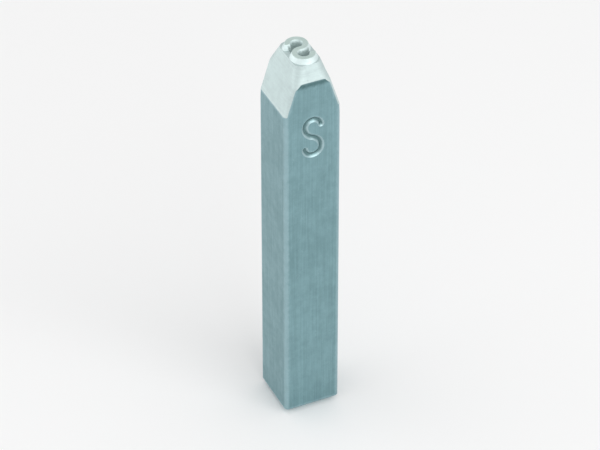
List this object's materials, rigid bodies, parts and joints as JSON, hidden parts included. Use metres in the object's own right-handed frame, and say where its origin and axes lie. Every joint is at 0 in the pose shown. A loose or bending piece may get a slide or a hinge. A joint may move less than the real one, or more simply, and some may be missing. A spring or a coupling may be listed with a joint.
{
  "type": "steel letter punch",
  "caption": "Square steel hand punch with a tapered head, a raised mirrored letter on the tip and the same letter stamped into one side. A hammer on its flat end marks metal.",
  "frame": {"origin": "centre of the flat struck end, on the punch's own axis", "axes": "+Z along the shank from the struck end to the raised letter, -Y out of the face with the stamped mark, +X to the right of a viewer who looks at that face"},
  "size_m": [0.009, 0.009, 0.065],
  "materials": {
    "steel": "hardened tool steel, satin, with a fine ground grain and brighter ground facets on the head"
  },
  "bodies": {
    "root": {"letter_punch": "steel"}
  },
  "joints": []
}
